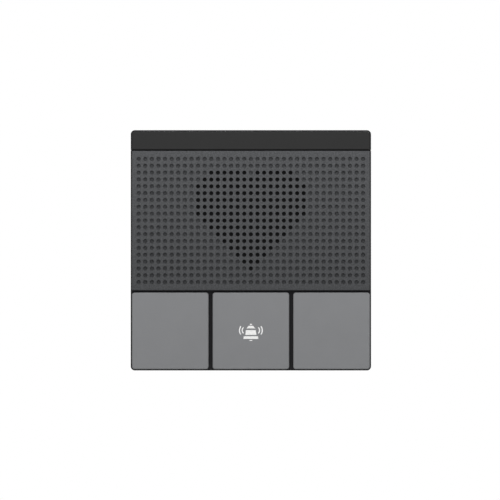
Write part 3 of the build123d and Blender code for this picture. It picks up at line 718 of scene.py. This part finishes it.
def lock_screw():
    """Lock screw with a cross recess in its head and a threaded shank."""
    low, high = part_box("lock_screw")
    middle = (low + high) / 2
    foot = Vector((middle.x, middle.y, low.z))
    length = high.z - low.z
    shell = Shell()
    profile = [(LOCK_HEAD_RADIUS - SCREW_EDGE, 0.0), (LOCK_HEAD_RADIUS, SCREW_EDGE),
               (LOCK_HEAD_RADIUS, LOCK_HEAD), (LOCK_RADIUS, LOCK_HEAD)]
    turns = int((length - LOCK_HEAD) / LOCK_THREAD)
    for turn in range(1, turns):
        along = LOCK_HEAD + turn * LOCK_THREAD
        profile += [(LOCK_RADIUS, along - LOCK_THREAD / 4),
                    (LOCK_RADIUS - LOCK_THREAD_DEPTH, along + LOCK_THREAD / 4)]
    profile.append((LOCK_RADIUS - 2 * LOCK_THREAD_DEPTH, length))
    turned(shell, foot, Vector((0, 0, 1)), profile)
    half = CROSS_WIDTH / 2
    arm = CROSS_ARM
    cross = [(arm, half), (half, half), (half, arm), (-half, arm), (-half, half), (-arm, half),
             (-arm, -half), (-half, -half), (-half, -arm), (half, -arm), (half, -half), (arm, -half)]
    tool = Shell()
    tool.stack([[(foot.x + x * share, foot.y + y * share, foot.z + depth) for x, y in cross]
                for depth, share in ((-CROSS_DEPTH, CROSS_MOUTH_SHARE), (CROSS_DEPTH, CROSS_FLOOR_SHARE))])
    mesh = carved(shell.mesh("lock_screw_head"), tool.mesh("cross_tool"))
    piece(mesh, "lock_screw_head", "panel", "screw_steel", ["lock_screw"])


def terminal_screws():
    """Slotted clamping screws in the wells of the terminal block."""
    low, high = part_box("terminal_screws")
    middle = (low + high) / 2
    radius = (high.z - low.z) / 2
    profile = [(radius - SCREW_EDGE, 0.0), (radius, SCREW_EDGE), (radius, high.y - low.y)]
    reach = TERMINAL_SLOT_REACH * radius
    half = TERMINAL_SLOT / 2
    corners = [(-reach, -half), (reach, -half), (reach, half), (-reach, half)]
    shell = Shell()
    tool = Shell()
    for index in range(TERMINAL_COUNT):
        x = middle.x + (index - (TERMINAL_COUNT - 1) / 2) * TERMINAL_PITCH
        turned(shell, Vector((x, high.y, middle.z)), Vector((0, -1, 0)), profile, TERMINAL_SEGMENTS)
        lean = TERMINAL_LEANS[index % len(TERMINAL_LEANS)]
        cosine = math.cos(lean)
        sine = math.sin(lean)
        slot = [(across * cosine - up * sine, across * sine + up * cosine) for across, up in corners]
        tool.stack([placed(slot, y, x, middle.z) for y in (high.y - TERMINAL_SLOT_DEPTH, high.y + radius)])
    mesh = carved(shell.mesh("clamp_screws"), tool.mesh("slot_tool"))
    piece(mesh, "clamp_screws", "panel", "screw_steel", ["terminal_screws"])


def wall_bracket():
    """Wall plate with its sheet edges broken."""
    piece(softened("wall_bracket", SHEET_EDGE, lambda point: True), "wall_plate", "panel", "pressed_steel",
          ["wall_bracket"], weighted=True)


# Stage

def seen_straight(tree):
    """Output that is 1 for what the camera sees, also in gloss or through glass."""
    path = tree.nodes.new("ShaderNodeLightPath")
    seen = path.outputs["Is Camera Ray"]
    for kind in ("Is Glossy Ray", "Is Transmission Ray"):
        either = tree.nodes.new("ShaderNodeMath")
        either.operation = "MAXIMUM"
        tree.links.new(seen, either.inputs[0])
        tree.links.new(path.outputs[kind], either.inputs[1])
        seen = either.outputs["Value"]
    return seen


def stage_floor():
    """Pale round floor, as far below the panel as it hangs on a wall."""
    level = cad_box[0][2] - FLOOR_DROP
    mesh = bpy.data.meshes.new("floor")
    turns = [2 * math.pi * step / FLOOR_SEGMENTS for step in range(FLOOR_SEGMENTS)]
    outline = [(FLOOR_RADIUS * math.cos(turn), FLOOR_RADIUS * math.sin(turn), level) for turn in turns]
    mesh.from_pydata(outline, [], [tuple(range(FLOOR_SEGMENTS))])
    floor = bpy.data.objects.new("floor", mesh)
    bpy.context.scene.collection.objects.link(floor)
    material = finish("floor_pale", **FLOOR_FINISH)
    tree = material.node_tree
    glow = tree.nodes.new("ShaderNodeEmission")
    strength = tree.nodes.new("ShaderNodeMath")
    strength.operation = "MULTIPLY"
    strength.inputs[1].default_value = FLOOR_GLOW
    tree.links.new(seen_straight(tree), strength.inputs[0])
    tree.links.new(strength.outputs["Value"], glow.inputs["Strength"])
    both = tree.nodes.new("ShaderNodeAddShader")
    tree.links.new(tree.nodes["Principled BSDF"].outputs["BSDF"], both.inputs[0])
    tree.links.new(glow.outputs["Emission"], both.inputs[1])
    tree.links.new(both.outputs["Shader"], tree.nodes["Material Output"].inputs["Surface"])
    mesh.materials.append(material)


def area_light(name, place, aim, size, power):
    """Soft lamp that faces a point."""
    data = bpy.data.lights.new(name, "AREA")
    data.shape = "DISK"
    data.size = size
    data.energy = power
    lamp = bpy.data.objects.new(name, data)
    lamp.location = place
    lamp.rotation_euler = (Vector(aim) - Vector(place)).to_track_quat("-Z", "Y").to_euler()
    bpy.context.scene.collection.objects.link(lamp)


def lights():
    """Broad lamp before the face, a lamp above it, and fills for the sides and the back."""
    for lamp in LAMPS:
        area_light(*lamp)


def surround():
    """World that shows white behind the panel and lights it evenly."""
    world = bpy.data.worlds.new("surround")
    bpy.context.scene.world = world
    world.use_nodes = True
    tree = world.node_tree
    tree.nodes.clear()
    even = tree.nodes.new("ShaderNodeBackground")
    even.inputs["Strength"].default_value = SURROUND_STRENGTH
    white = tree.nodes.new("ShaderNodeBackground")
    for background in (even, white):
        background.inputs["Color"].default_value = (1.0, 1.0, 1.0, 1.0)
    choice = tree.nodes.new("ShaderNodeMixShader")
    tree.links.new(seen_straight(tree), choice.inputs[0])
    tree.links.new(even.outputs["Background"], choice.inputs[1])
    tree.links.new(white.outputs["Background"], choice.inputs[2])
    output = tree.nodes.new("ShaderNodeOutputWorld")
    tree.links.new(choice.outputs["Shader"], output.inputs["Surface"])


def camera():
    """Camera square on to the face."""
    data = bpy.data.cameras.new("camera")
    data.sensor_width = SENSOR_WIDTH
    data.lens = SENSOR_WIDTH * CAMERA_DISTANCE / CAMERA_VIEW_WIDTH
    view = bpy.data.objects.new("camera", data)
    view.location = (CAMERA_OFFSET[0], cad_box[0][1] - CAMERA_DISTANCE, CAMERA_OFFSET[1])
    view.rotation_euler = (math.radians(90), 0.0, 0.0)
    bpy.context.scene.collection.objects.link(view)
    bpy.context.scene.camera = view


materials = all_materials()
dress_solids()
grille_tile()
top_strip()
call_keys()
dust_cloth()
key_mat()
lock_screw()
terminal_screws()
wall_bracket()
stage_floor()
lights()
surround()
camera()
bpy.context.scene.view_settings.view_transform = "Standard"
